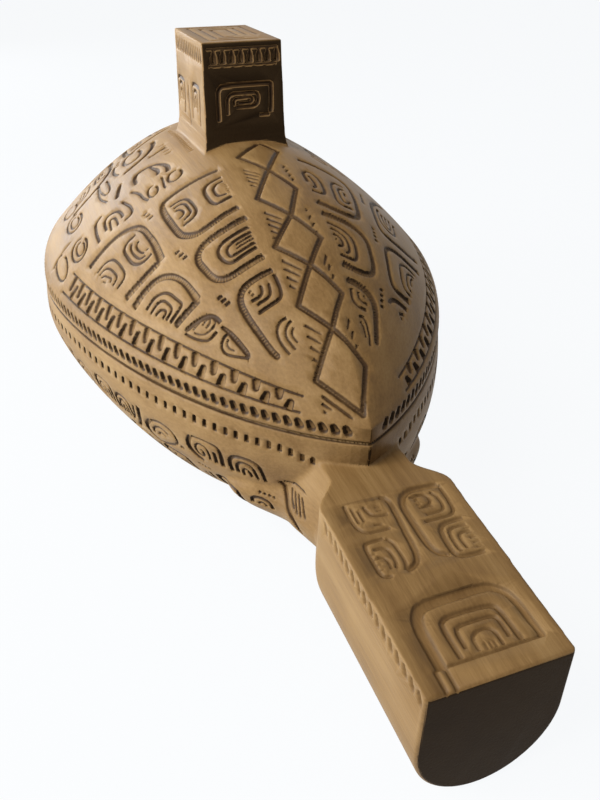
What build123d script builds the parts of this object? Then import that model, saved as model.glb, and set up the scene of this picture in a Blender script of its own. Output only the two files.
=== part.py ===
"""A carved wooden bowl with a lid: a long pointed oval bowl with a chunky handle growing out of
its point, and a domed lid with a keel and a square post for a knob.  It is two pieces of wood,
each carved from one block: the bowl with its handle, and the lid with its knob.  Millimetres,
+Z up, handle towards -Y, origin on the table under the knob."""
from build123d import *
import os

# ---- driving dimensions -------------------------------------------------------------------------
# plan outline, shared by the bowl's rim and the lid's edge
half_width = 92.0           # from the long axis to the side, at the knob
tip_reach = 162.5           # from the knob's axis to the pointed front
rear_reach = 159.5          # from the knob's axis to the round rear
side_ease = 0.20            # how far the side runs straight before it turns in
tip_ease = 0.43             # how far the point's flanks run straight back
tip_angle = 62.5            # between the long axis and each flank of the point, degrees

# bowl
rim_height = 65.0           # the table to the seam between bowl and lid
bowl_wall = 8.5             # wall at the rim
bowl_tip_wood = 18.0        # solid wood between the hollow and the point
bowl_floor = 11.0           # wood under the hollow
belly_trim = 0.6            # how far under the table the belly would close by itself
belly_swell = 3.5           # how far the sides swell out between rim and foot
belly_shift = 24.0          # how far the belly's widest place moves back on the way down
foot_width = 56.0           # flat foot, across
foot_front = 62.0           # from the knob's axis to the foot's front
foot_rear = 46.0            # from the knob's axis to the foot's rear

# handle, a U-shaped bar with a flat top
handle_reach = 83.5         # from the point to the handle's end
handle_shoulder = 13.0      # from the point to the handle's full width
handle_width = 47.0         # across the flat top, at the shoulder
handle_end_width = 45.0     # across the flat top, at the end
handle_drop = 9.8           # from the seam down to the flat top, at the shoulder
handle_fall = 4.7           # how much lower the flat top is at the end
handle_clear = 1.0          # from the table up to the handle's underside
handle_round = 25.8         # height of the round part of the U
handle_lean = 1.2           # how much wider the handle is lower down
handle_chamfer = 0.8        # worn arris round the handle's end

# neck, cut in under the point between the bowl and the handle's shoulder
waist_stand = 0.5           # from the point to the narrowest of the neck
waist_width = 30.0          # across the neck's top, at the narrowest
waist_low_width = 40.0      # across the neck's middle, at the narrowest
flank_reach = 14.0          # from the point back to where the neck fairs into the flanks
flank_width = 51.5          # across the neck's middle, there
root_reach = 38.0           # from the point back to where the neck dies into the flanks
root_width = 82.0           # across the neck's middle, there
root_bury = 14.0            # how much further the neck runs on inside the bowl
neck_clear = 12.5           # from the table up to the neck's underside
neck_round = 20.0           # height of the round part of the neck's section

# lid
dome_height = 66.5          # the seam to the keel beside the knob
edge_band = 6.6             # upright edge all round
edge_chamfer = 0.8          # worn lower arris of the edge
lid_wall = 10.0             # wood over the lid's hollow
lip_depth = 4.5             # how far the locating lip goes into the bowl's mouth
lip_wall = 4.0              # thickness of the lip
lip_clearance = 0.6         # between the lip and the mouth, all round

# knob, a square post
knob_width = 33.4           # across, at the top
knob_length = 50.8          # along the bowl, at the top
knob_top = 105.5            # the seam to the knob's flat top
knob_taper = 0.9            # how much each side leans out at the base
knob_flare = 3.0            # small hollow curve where the post meets the dome
knob_corner = 0.8           # worn corners
knob_sink = 4.0             # how far the knob's base reaches down into the dome

# carving that is wide enough to be part of the form
cut_depth = 1.0             # how deep the wide gouge cuts go
flank_cut_width = 2.4       # the bowl's own cuts
flank_repeats = 4           # how often the upper row's figures come, along each flank
flank_repeat_pitch = 58.0   # from one of them to the next
arch_width = 12.0           # small squared arches of the two lower rows
arch_legs = 8.0             # how far their legs reach down
arch_pitch = 22.0           # from one arch to the next
keel_cut_width = 2.4        # the two zigzags along the keel
flute_width = 3.7           # scoops of the band round the dome's edge
flute_pitch = 9.2           # from one scoop to the next that opens the same way
flute_pairs = 15            # along each side of the point
flute_start = 29.0          # from the point round to the first scoop
flute_overlap = 0.76        # how much of the band's width each scoop crosses
band_outer = 1.3            # from the lid's edge in to the band, at its start
band_outer_growth = 0.010   # how much further in it lies for each millimetre round
band_inner = 4.1            # from the lid's edge in to the band's far side, at its start
band_inner_growth = 0.032   # how much further in that lies for each millimetre round

# how fast the outline shrinks, up the dome and down the bowl: larger is fuller
dome_side_power = 1.69
dome_front_power = 2.83
dome_rear_power = 2.08
belly_side_power = 3.0
belly_front_power = 4.0

SMOOTH_TIP = 90.0           # a flank angle of 90 degrees is a round end
QUARTER = 0.5523            # control length of a cubic that draws a quarter of an ellipse
dome_levels = (0.0, 0.12, 0.28, 0.46, 0.64, 0.80, 0.91, 0.97, 0.99)
belly_levels = (0.0, 0.16, 0.34, 0.52, 0.68, 0.82, 0.91, 0.96)


def outline(width, front, rear, flank, widest=0.0):
    """Closed plan outline in a line context.  Width is the half width, which lies at y = widest,
    front and rear reach to the two ends, and flank is the angle of the point in degrees."""
    turn = Vector(0, 1, 0).rotate(Axis.Z, -flank) * tip_ease * front
    for side in (1, -1):
        broad = (side * width, widest)
        Bezier(broad, (side * width, widest - side_ease * front),
               (side * turn.X, turn.Y - front), (0, -front))
        Bezier(broad, (side * width, widest + QUARTER * (rear - widest)),
               (side * QUARTER * width, rear), (0, rear))


def flank_angle(level):
    """The point turns into a round end on the way from the seam, 0, to the far level, 1."""
    return tip_angle + (SMOOTH_TIP - tip_angle) * level


def dome_outline(level, inset=0.0, tip_inset=0.0):
    """The lid's outline at a level from 0, on the edge band, to 1, at the keel's height."""
    left = 1 - level
    outline((half_width - inset) * left ** (1 / dome_side_power),
            (tip_reach - tip_inset) * left ** (1 / dome_front_power),
            (rear_reach - inset) * left ** (1 / dome_rear_power), flank_angle(level))


def belly_outline(level, inset=0.0, tip_inset=0.0):
    """The bowl's outline at a level from 0, at the rim, to 1, where the belly would close."""
    left = 1 - level ** 2
    side = left ** (1 / belly_side_power) + belly_swell / half_width * 4 * level * (1 - level)
    outline((half_width - inset) * side,
            (tip_reach - tip_inset) * left ** (1 / belly_front_power),
            (rear_reach - inset) * side, flank_angle(level), belly_shift * level)


def bar_section(top_width, low_width, top, clear, rounded):
    """Section of handle or neck in a line context: flat top, leaning sides, and half an ellipse
    of height rounded, whose lowest point is clear above the table."""
    half_top = top_width / 2
    half_low = low_width / 2
    spring = clear + rounded
    Line((-half_top, top), (half_top, top))
    for side in (1, -1):
        Line((side * half_top, top), (side * half_low, spring))
        Bezier((side * half_low, spring), (side * half_low, spring - QUARTER * rounded),
               (side * QUARTER * half_low, clear), (0, clear))


def flute_spots(edge):
    """Middle, direction and length of each scoop of the band, along the stretch of the lid's edge
    that ends at the point."""
    spots = []
    for number in range(2 * flute_pairs):
        run = number * flute_pitch / 2
        outer = band_outer + band_outer_growth * run
        inner = band_inner + band_inner_growth * run
        length = (inner - outer) * flute_overlap
        way = 1 - (flute_start + run) / edge.length
        inward = Vector(0, 0, 1).cross(edge % way)
        if inward.dot(edge @ way) > 0:
            inward = -inward
        middle = outer + length / 2 if number % 2 == 0 else inner - length / 2
        spots.append((edge @ way + inward * middle, edge.tangent_angle_at(way), length))
    return spots


# ---- places that follow from the sizes above ----------------------------------------------------
belly_depth = rim_height + belly_trim
hollow_depth = (rim_height - bowl_floor) / belly_levels[-1]
dome_rise = dome_height - edge_band
hollow_rise = dome_height - lid_wall

lip_inset = bowl_wall + lip_clearance
lip_tip_inset = bowl_tip_wood + lip_clearance
hollow_inset = lip_inset + lip_wall
hollow_tip_inset = lip_tip_inset + lip_wall

end_y = -(tip_reach + handle_reach)
shoulder_y = -(tip_reach + handle_shoulder)
shoulder_top = rim_height - handle_drop
end_top = shoulder_top - handle_fall

end_width = handle_end_width - 2 * handle_chamfer
handle_sections = ((end_y, end_width, end_width + handle_lean, end_top - handle_chamfer,
                    handle_clear + handle_chamfer),
                   (end_y + handle_chamfer, handle_end_width, handle_end_width + handle_lean, end_top,
                    handle_clear),
                   (shoulder_y, handle_width, handle_width + handle_lean, shoulder_top, handle_clear))
neck_sections = ((shoulder_y, handle_width, handle_width + handle_lean, handle_clear, handle_round),
                 (-(tip_reach + waist_stand), waist_width, waist_low_width, neck_clear, neck_round),
                 (-(tip_reach - flank_reach), waist_width, flank_width, neck_clear, neck_round),
                 (-(tip_reach - root_reach), waist_width, root_width, neck_clear, neck_round),
                 (-(tip_reach - root_reach - root_bury), waist_width, root_width, neck_clear,
                  neck_round))
knob_sections = ((dome_height - knob_sink, knob_flare + knob_taper),
                 (dome_height, knob_flare / 3 + knob_taper),
                 (dome_height + knob_flare, knob_taper),
                 (knob_top, 0.0))

# ---- carved lines, as places on the plan --------------------------------------------------------
# two zigzags that cross along the keel
keel_zigzags = (
    ((3.5, -32), (-8.5, -42.5), (-0.5, -58), (-11, -76.5), (-2, -89.5), (-12.5, -101.5),
     (-3, -112.5), (-11.8, -124), (-3.3, -134.5), (-13, -144.5), (-1.5, -158.5)),
    ((5.5, -32), (9.6, -39.5), (-0.5, -58), (5.5, -74), (-2, -89.5), (5.2, -101.8), (-3, -112.5),
     (4.6, -124), (-3.3, -134.5), (4.6, -146), (-1.5, -158.5)))

# wide gouge cuts of the left flank, each with its width: an arch, a leaning arch, two boxes and a
# hook, from the side to the keel
left_cuts = (
    (3.2, ((-73.3, -32.3), (-62, -33.5), (-55, -38.5), (-51, -47), (-49.3, -59), (-48.8, -73.3))),
    (3.2, ((-63.6, -68.2), (-48.9, -71.7))),
    (3.2, ((-61.8, -75.3), (-54.5, -75.8), (-48.5, -80.5), (-44, -89.5), (-41.4, -101))),
    (2.6, ((-50.2, -98.2), (-41.7, -99.6))),
    (3.0, ((-19, -47.4), (-38, -43), (-41.8, -44.6), (-42.2, -54), (-40, -70), (-34, -76.8),
           (-19, -77.3))),
    (2.9, ((-18, -84.3), (-36, -83.6), (-37.5, -87), (-33.5, -100), (-29, -102.7),
           (-17.6, -103.1))),
    (2.4, ((-16.4, -109.1), (-27, -109), (-29, -113), (-26.2, -124), (-22.3, -133))))

# two hooks on each shoulder, beside the knob
shoulder_cuts = (
    (2.2, ((-46.2, -7.5), (-45.4, 0.5), (-40.5, 1), (-34.6, -6), (-32.8, -14), (-33.6, -19.6))),
    (2.6, ((-48, 16.3), (-38, 16.8), (-33, 22.3), (-30.6, 34))))

# and of the right flank: bands that bend towards the edge
right_cuts = (
    (3.0, ((16, -47.6), (31.2, -54), (33.5, -59), (32, -70), (28, -84), (24, -87.8), (11.2, -82.6))),
    (2.9, ((10.5, -89.4), (22.5, -94.7), (24.8, -99.8), (21.6, -113), (17.5, -115.2), (9.6, -112.8))),
    (2.5, ((8.7, -118.9), (15, -122), (16.2, -127), (11.8, -139.2))),
    (2.5, ((60, -38.5), (49.5, -51.5), (42, -67), (37.8, -83), (40.5, -86.4), (58, -78.8))),
    (2.5, ((53.4, -89.6), (37, -94.6), (33, -99.5), (29.2, -115), (35.6, -116))))

# the upper row of the bowl's flank, seen from the side, first at the neck: a hook, a leaf and a
# crescent
flank_figures = (
    ((-125.6, 48.4), (-117.5, 48.8), (-114.4, 46.3), (-113.3, 36.8)),
    ((-105.6, 42.8), (-103, 45.9), (-97.5, 47), (-92, 44.6), (-90, 40.2), (-92.5, 36.8), (-97, 36)),
    ((-87.5, 48.6), (-85, 40.7), (-80.5, 34.6)))

# its two lower rows of squared arches: height of their tops, place of the first one, how many
flank_rows = ((32.5, -100.0, 10), (19.5, -85.0, 8))

# wide cuts in the handle's flat top, measured from its shoulder: a hook each side and an arch
handle_cuts = (
    (2.4, ((-15.4, -1.5), (-4, -1.5), (-0.9, -3.5), (-1.8, -18), (-3.2, -29), (-8, -32))),
    (2.8, ((17.9, -2.4), (7.5, -2), (3.6, -4.4), (2.3, -10), (2.3, -25), (6.7, -30.4))),
    (3.4, ((-14.3, -64), (-14.2, -50), (-10.2, -44.4), (11.2, -44.4), (15.8, -50), (16.4, -63.5))))

# ---- the wood that the gouge takes out of the bowl's flanks -------------------------------------
flank_lines = [[(y + flank_repeat_pitch * number, z) for y, z in figure]
               for number in range(flank_repeats) for figure in flank_figures]
for top, first, count in flank_rows:
    for number in range(count):
        near = first + arch_pitch * number - arch_width / 2
        far = near + arch_width
        flank_lines.append([(near, top - arch_legs), (near, top), (far, top), (far, top - arch_legs)])

with BuildPart() as flank_gouged:
    # level prisms, right through
    with BuildSketch(Plane.YZ):
        for places in flank_lines:
            with BuildLine():
                Polyline(*places)
            trace(line_width=flank_cut_width)
    extrude(amount=half_width + belly_swell, both=True)

    # less the belly, made smaller by the depth of the cuts
    for level in belly_levels:
        with BuildSketch(Plane.XY.offset(rim_height - (belly_depth - cut_depth) * level)):
            with BuildLine():
                belly_outline(level, cut_depth, cut_depth)
            make_face()
    loft(mode=Mode.SUBTRACT)

# ---- bowl with its handle, one block ------------------------------------------------------------
with BuildPart() as bowl:
    # belly, from the rim down to the soft edge round the foot
    for level in belly_levels:
        with BuildSketch(Plane.XY.offset(rim_height - belly_depth * level)):
            with BuildLine():
                belly_outline(level)
            make_face()
    loft()
    add(flank_gouged.part, mode=Mode.SUBTRACT)

    # soft edge and flat foot
    with BuildSketch(Plane.XY.offset(rim_height - belly_depth * belly_levels[-1])):
        with BuildLine():
            belly_outline(belly_levels[-1])
        make_face()
    with BuildSketch():
        with BuildLine():
            outline(foot_width / 2, foot_front, foot_rear, SMOOTH_TIP)
        make_face()
    loft(ruled=True)

    # handle bar
    for place, wide, low, top, clear in handle_sections:
        with BuildSketch(Plane.XZ.offset(-place)):
            with BuildLine():
                bar_section(wide, low, top, clear, handle_round)
            make_face()
    loft(ruled=True)

    # neck, waisted under the point and faired into the bowl's flanks
    for place, wide, low, clear, rounded in neck_sections:
        with BuildSketch(Plane.XZ.offset(-place)):
            with BuildLine():
                bar_section(wide, low, shoulder_top, clear, rounded)
            make_face()
    loft()

    # hollow
    for level in belly_levels:
        with BuildSketch(Plane.XY.offset(rim_height - hollow_depth * level)):
            with BuildLine():
                belly_outline(level, bowl_wall, bowl_tip_wood)
            make_face()
    loft(mode=Mode.SUBTRACT)

    # wide gouge cuts in the handle's top, which falls towards its end
    fall = (shoulder_top - end_top) / (handle_reach - handle_shoulder)
    with BuildSketch(Plane((0, shoulder_y, shoulder_top), x_dir=(1, 0, 0), z_dir=(0, -fall, 1))):
        for width, places in handle_cuts:
            with BuildLine():
                Polyline(*places)
            trace(line_width=width)
    extrude(amount=cut_depth, both=True, mode=Mode.SUBTRACT)

# ---- the wood that the wide gouge cuts take out of the dome -------------------------------------
with BuildLine() as lid_edge:
    dome_outline(0)

with BuildPart() as gouged:
    # upright prisms
    with BuildSketch(Plane.XY.offset(rim_height + edge_band)):
        for edge in lid_edge.edges().filter_by(lambda run: run.center().Y < 0):
            for spot, angle, length in flute_spots(edge):
                with Locations(Location((spot.X, spot.Y, 0), (0, 0, angle))):
                    Rectangle(flute_width, length)
        for zigzag in keel_zigzags:
            with BuildLine():
                Polyline(*zigzag)
            trace(line_width=keel_cut_width)
        for width, places in left_cuts + shoulder_cuts + right_cuts:
            with BuildLine():
                Polyline(*places)
            trace(line_width=width)

        # the right shoulder and the rear repeat the left, turned about the knob
        for width, places in shoulder_cuts:
            with BuildLine():
                Polyline(*[(-x, y) for x, y in places])
            trace(line_width=width)
        for side in (1, -1):
            for width, places in left_cuts:
                with BuildLine():
                    Polyline(*[(side * x, -y) for x, y in places])
                trace(line_width=width)
        for zigzag in keel_zigzags:
            with BuildLine():
                Polyline(*[(x, -y) for x, y in zigzag])
            trace(line_width=keel_cut_width)
    extrude(amount=dome_rise)

    # less the dome, lowered by the depth of the cuts
    for level in dome_levels:
        with BuildSketch(Plane.XY.offset(rim_height + edge_band + (dome_rise - cut_depth) * level)):
            with BuildLine():
                dome_outline(level, cut_depth, cut_depth)
            make_face()
    loft(mode=Mode.SUBTRACT)

# ---- lid with its knob, one block ---------------------------------------------------------------
with BuildPart() as lid:
    # upright edge, with its lower arris worn
    for rise, worn in ((0, edge_chamfer), (edge_chamfer, 0), (edge_band, 0)):
        with BuildSketch(Plane.XY.offset(rim_height + rise)):
            with BuildLine():
                dome_outline(0, worn, worn)
            make_face()
    loft(ruled=True)

    # dome with its keel
    for level in dome_levels:
        with BuildSketch(Plane.XY.offset(rim_height + edge_band + dome_rise * level)):
            with BuildLine():
                dome_outline(level)
            make_face()
    loft()

    # hollow under the dome
    for level in dome_levels:
        with BuildSketch(Plane.XY.offset(rim_height + hollow_rise * level)):
            with BuildLine():
                dome_outline(level, hollow_inset, hollow_tip_inset)
            make_face()
    loft(mode=Mode.SUBTRACT)

    # wide gouge cuts
    add(gouged.part, mode=Mode.SUBTRACT)

    # knob, standing on the dome with a small hollow curve round its base
    for rise, spread in knob_sections:
        with BuildSketch(Plane.XY.offset(rim_height + rise)):
            RectangleRounded(knob_width + 2 * spread, knob_length + 2 * spread, knob_corner)
    loft(ruled=True)

    # locating lip, which drops into the bowl's mouth
    with BuildSketch(Plane.XY.offset(rim_height - lip_depth)):
        with BuildLine():
            dome_outline(0, lip_inset, lip_tip_inset)
        make_face()
        with BuildLine():
            dome_outline(0, hollow_inset, hollow_tip_inset)
        make_face(mode=Mode.SUBTRACT)
    extrude(amount=lip_depth)

os.makedirs("parts", exist_ok=True)
bowl.part.label = "bowl"
export_step(bowl.part, "parts/bowl.step")
lid.part.label = "lid"
export_step(lid.part, "parts/lid.step")
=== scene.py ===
"""A long pointed oval bowl of carved wood with a chunky handle at its point and a domed lid with a
square post for a knob.  Metres, +Z up, handle towards -Y, the table at z = 0."""
import math

import bpy
import numpy as np
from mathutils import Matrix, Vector
from mathutils.bvhtree import BVHTree


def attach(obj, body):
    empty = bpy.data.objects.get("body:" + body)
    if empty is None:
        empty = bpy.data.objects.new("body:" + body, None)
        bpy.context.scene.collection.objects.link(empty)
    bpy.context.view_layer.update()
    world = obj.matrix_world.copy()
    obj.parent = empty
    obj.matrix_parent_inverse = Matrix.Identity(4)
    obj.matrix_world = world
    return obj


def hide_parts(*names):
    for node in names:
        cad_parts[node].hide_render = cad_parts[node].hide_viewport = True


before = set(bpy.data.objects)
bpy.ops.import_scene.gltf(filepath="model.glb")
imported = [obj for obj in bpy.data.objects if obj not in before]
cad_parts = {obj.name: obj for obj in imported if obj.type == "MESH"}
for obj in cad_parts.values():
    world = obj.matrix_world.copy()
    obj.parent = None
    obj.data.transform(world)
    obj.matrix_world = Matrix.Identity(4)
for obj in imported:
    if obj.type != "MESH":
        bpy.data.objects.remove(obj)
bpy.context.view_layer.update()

scene = bpy.context.scene


# ---- camera -------------------------------------------------------------------------------------
# The view from above the handle's end, looking down along the lid to the knob.
bpy.ops.object.select_all(action="DESELECT")
bpy.ops.object.camera_add(location=(-0.08975, -0.33964, 0.21247),
                          rotation=[math.radians(a) for a in (56.701, -0.014, -20.023)])
camera = bpy.context.object
camera.name = "camera"
camera.data.lens = 33.18
camera.data.sensor_width = 36
camera.data.clip_start = 0.01
scene.camera = camera


# ---- studio -------------------------------------------------------------------------------------
# A white table top and a white room.  A low cool window stands to the left of the bowl, a warm
# soft light hangs above the handle's left, and a second window looks in from behind.
class Sock:
    """A shader socket that adds Math nodes when it is used in an expression."""

    def __init__(self, shade, link):
        self.shade = shade
        self.link = link

    def math(self, operation, *values):
        return self.shade.node("ShaderNodeMath", list(values), operation=operation)

    def __add__(self, other):
        return self.math("ADD", self, other)

    def __mul__(self, other):
        return self.math("MULTIPLY", self, other)

    def __abs__(self):
        return self.math("ABSOLUTE", self)

    __radd__ = __add__


class Shade:
    """A material's nodes.  node() adds one, sets what is set by name, then fills its sockets."""

    def __init__(self, tree):
        tree.nodes.clear()
        self.tree = tree

    def node(self, kind, values=None, out=0, **settings):
        made = self.tree.nodes.new(kind)
        for name, value in settings.items():
            if name == "stops":
                ramp = made.color_ramp.elements
                while len(ramp) > 1:
                    ramp.remove(ramp[0])
                for number, (place, colour) in enumerate(value):
                    stop = ramp[0] if number == 0 else ramp.new(place)
                    stop.position = place
                    stop.color = (*colour, 1)
            else:
                setattr(made, name, value)
        pairs = enumerate(values) if isinstance(values, list) else (values or {}).items()
        for name, value in pairs:
            socket = made.inputs[name]
            if isinstance(value, Sock):
                self.tree.links.new(value.link, socket)
            elif value is not None:
                socket.default_value = value
        return Sock(self, made.outputs[out]) if len(made.outputs) else None


def new_material(name):
    material = bpy.data.materials.new(name)
    material.use_nodes = True
    return material, Shade(material.node_tree)


def looked_at(shade):
    """1 where a surface is looked at, straight or in a reflection, and 0 where it only gives
    light."""
    seen, gloss, clear = (shade.node("ShaderNodeLightPath", out=f"Is {ray} Ray")
                          for ray in ("Camera", "Glossy", "Transmission"))
    return seen + gloss + clear


FLOOR_WHITE = 0.95              # share of plain white in the floor's look; the rest is shadow

bpy.ops.object.select_all(action="DESELECT")
bpy.ops.mesh.primitive_plane_add(size=6, location=(0, 0, 0))
floor = bpy.context.object
floor.name = "table_top"
table_white, shade = new_material("table_white")
pale = shade.node("ShaderNodeBsdfDiffuse", {"Color": (0.80, 0.81, 0.82, 1)})
bright = shade.node("ShaderNodeEmission", {"Color": (0.97, 0.985, 1.0, 1), "Strength": 1.0})
lit = shade.node("ShaderNodeMixShader", {0: looked_at(shade) * FLOOR_WHITE, 1: pale, 2: bright})
shade.node("ShaderNodeOutputMaterial", {"Surface": lit})
floor.data.materials.append(table_white)

world = bpy.data.worlds.new("room")
scene.world = world
world.use_nodes = True
shade = Shade(world.node_tree)
room = shade.node("ShaderNodeBackground", {"Color": (1.0, 0.97, 0.93, 1), "Strength": 0.15})
white = shade.node("ShaderNodeBackground", {"Color": (1, 1, 1, 1), "Strength": 1.0})
sky = shade.node("ShaderNodeMixShader", {0: looked_at(shade), 1: room, 2: white})
shade.node("ShaderNodeOutputWorld", {"Surface": sky})


def soft_light(name, place, target, size, power, colour):
    """A square soft light that faces a point."""
    bpy.ops.object.select_all(action="DESELECT")
    bpy.ops.object.light_add(type="AREA", location=place)
    light = bpy.context.object
    light.name = name
    light.data.size = size
    light.data.energy = power
    light.data.color = colour
    aim = Vector(target) - Vector(place)
    light.rotation_euler = aim.to_track_quat("-Z", "Y").to_euler()


soft_light("window", (-0.92, 0.16, 0.24), (0, -0.02, 0.06), 0.45, 9.2, (0.78, 0.88, 1.0))
soft_light("fill", (-0.72, -0.28, 0.84), (0, -0.12, 0.05), 0.5, 10.2, (1.0, 0.94, 0.84))
soft_light("rear_window", (-0.55, 1.1, 0.40), (0, 0, 0.1), 0.6, 7.5, (0.88, 0.94, 1.0))
scene.view_settings.view_transform = "Standard"


# ---- the lid's wood -----------------------------------------------------------------------------
# The lid is one block of close-grained hardwood: a keeled dome, an upright edge band, the square
# post of the knob, and inside a hollow with a locating lip.  Millimetres, as on the bench.
MM = 0.001
GRAIN = 0.45            # size of the carved mesh's cells
TRIANGLES = 196000                              # the most that a carved piece keeps
HALF_WIDTH = 92.0
TIP_REACH = 162.5               # from the middle to the point
REAR_REACH = 159.5
TIP_ANGLE = 62.5                # between the outline and the keel at the point, in degrees
SEAM = 65.0                     # height of the rim
EDGE_BAND = 6.6                 # height of the upright band round the lid's edge
DOME_HEIGHT = 66.5              # from the rim to the keel
LIP_INSET, LIP_TIP = 9.1, 18.6  # how far in from the edge the lip stands, and at the point
WALL = 4.0                      # thickness of the lip
QUARTER_CIRCLE = 0.5523         # handle length of a Bezier quarter circle


def bezier(a, b, c, d, count):
    """Places along a Bezier curve, all but its last."""
    t = np.arange(count)[:, None] / count
    a, b, c, d = (np.array(p, float) for p in (a, b, c, d))
    return (1 - t) ** 3 * a + 3 * (1 - t) ** 2 * t * b + 3 * (1 - t) * t ** 2 * c + t ** 3 * d


def outline(width, front, rear, flank, widest=0.0, height=0.0, count=64):
    """A closed plan outline, pointed at the front and round at the rear, as a ring of places."""
    turn = math.radians(flank)
    ease = (0.43 * front * math.sin(turn), 0.43 * front * math.cos(turn) - front)
    right = np.vstack([
        bezier((0, -front), ease, (width, widest - 0.20 * front), (width, widest), count),
        bezier((width, widest), (width, widest + QUARTER_CIRCLE * (rear - widest)),
               (QUARTER_CIRCLE * width, rear), (0, rear), count)])
    left = np.vstack([[(0, rear)], right[:0:-1] * (-1, 1)])
    ring = np.vstack([right, left])
    return np.column_stack([ring, np.full(len(ring), height)])


def dome_ring(level, rise, inset=0.0, tip_inset=0.0):
    """The lid's outline at a level from 0, on the edge band, to 1, along the keel."""
    left = 1 - level
    return outline((HALF_WIDTH - inset) * left ** (1 / 1.69),
                   (TIP_REACH - tip_inset) * left ** (1 / 2.83),
                   (REAR_REACH - inset) * left ** (1 / 2.08),
                   TIP_ANGLE + (90 - TIP_ANGLE) * level, 0, rise)


def turned(name, rings):
    """A closed form with the given rings: a sphere whose own rings are moved to them in turn."""
    around = len(rings[0])
    bpy.ops.object.select_all(action="DESELECT")
    bpy.ops.mesh.primitive_uv_sphere_add(segments=around, ring_count=len(rings) + 1, radius=1)
    form = bpy.context.object
    form.name = name
    for vertex in form.data.vertices:
        x, y, z = vertex.co
        ring = round((math.asin(max(-1, min(1, z))) / math.pi + 0.5) * (len(rings) + 1)) - 1
        if ring < 0 or ring >= len(rings):
            vertex.co = Vector(rings[0 if ring < 0 else -1].mean(axis=0)) * MM
        else:
            number = round(math.atan2(y, x) / math.tau * around) % around
            vertex.co = Vector(rings[ring][number]) * MM
    bpy.ops.object.mode_set(mode="EDIT")
    bpy.ops.mesh.select_all(action="SELECT")
    bpy.ops.mesh.remove_doubles(threshold=0.000001)
    bpy.ops.mesh.normals_make_consistent(inside=False)
    bpy.ops.object.mode_set(mode="OBJECT")
    return form


def worked(block, kind, **settings):
    """Works a block over with one modifier and applies it."""
    bpy.ops.object.select_all(action="DESELECT")
    bpy.context.view_layer.objects.active = block
    block.select_set(True)
    tool = block.modifiers.new("tool", kind)
    for name, value in settings.items():
        setattr(tool, name, value)
    bpy.ops.object.modifier_apply(modifier=tool.name)


def combine(block, part, operation):
    """Joins a form to a block, or takes it away from it."""
    worked(block, "BOOLEAN", operation=operation, solver="EXACT", object=part)
    bpy.data.objects.remove(part)


def disc(ring, *parts):
    """Smaller copies of a flat ring, which close a form at its foot or its top."""
    return [ring * (part, part, 1) for part in parts]


levels = np.clip(1 - np.linspace(1, 0, 56) ** 2.2, 0, 0.9995)
foot = dome_ring(0, SEAM, 0.8, 0.8)
rings = disc(foot, 0.25, 0.5, 0.75) + [foot]
rings += [dome_ring(0, SEAM + rise) for rise in (0.8, 2.5, 4.5)]
rings += [dome_ring(level, SEAM + EDGE_BAND + (DOME_HEIGHT - EDGE_BAND) * level)
          for level in levels]
lid = turned("lid_carved", rings)

lip = turned("lip", disc(dome_ring(0, 60.5, LIP_INSET, LIP_TIP), 0.25, 0.5, 0.75)
             + [dome_ring(0, rise, LIP_INSET, LIP_TIP) for rise in (60.5, 63, 65.5, 67)])
combine(lid, lip, "UNION")
inside = LIP_INSET + WALL, LIP_TIP + WALL
hollow = turned("hollow", disc(dome_ring(0, 58, *inside), 0.25, 0.5, 0.75)
                + [dome_ring(0, rise, *inside) for rise in (58, 62)]
                + [dome_ring(level, SEAM + 56.5 * level, *inside) for level in levels])
combine(lid, hollow, "DIFFERENCE")

# The knob: a square post a little wider at its foot, with a small hollow curve where it meets
# the dome.


def post_ring(height, spread):
    """A level section of the post, wider by spread than its top."""
    ring = []
    for number in range(256):
        turn = math.tau * number / 256
        x, y = math.cos(turn), math.sin(turn)
        reach = 1 / max(abs(x), abs(y))
        ring.append((x * reach * (16.7 + spread), y * reach * (25.4 + spread), height))
    return np.array(ring)


shaft = [post_ring(height, spread) for height, spread in (
    (126, 2.6), (127.5, 2.2), (129, 1.8), (130.5, 1.45), (132, 1.2), (134, 0.95), (136.5, 0.85))]
shaft += [post_ring(136.5 + k * 3.4, 0.85 - k * 0.085) for k in range(1, 11)]
knob = turned("knob", disc(shaft[0], 0.3, 0.7) + shaft + disc(post_ring(170.5, 0), 0.7, 0.3))
combine(lid, knob, "UNION")


def seasoned(block, smoothing):
    """Gives a block its fine, even mesh, ready for the gouge, and returns its bare surface."""
    skin = BVHTree.FromObject(block, bpy.context.evaluated_depsgraph_get())
    worked(block, "REMESH", mode="VOXEL", voxel_size=GRAIN * MM)
    worked(block, "SMOOTH", factor=0.5, iterations=smoothing)
    return skin


def touch(skin, start, way):
    """Where a line from start first meets the wood, and the wood's outward direction there."""
    place, normal, _, _ = skin.ray_cast(Vector(start) * MM, Vector(way).normalized())
    if place is None:
        return None
    if normal.dot(Vector(way)) > 0:
        normal = -normal
    return np.array(place) / MM, np.array(normal)


def laid(skin, rays):
    """A path on the wood: where each ray, a start and a way, first meets it."""
    hits = (touch(skin, start, way) for start, way in rays)
    return [hit for hit in hits if hit is not None]


def run_of(places):
    """Distance from the first place to each place, along their line."""
    return np.concatenate([[0], np.cumsum(np.linalg.norm(np.diff(places, axis=0), axis=1))])


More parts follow.
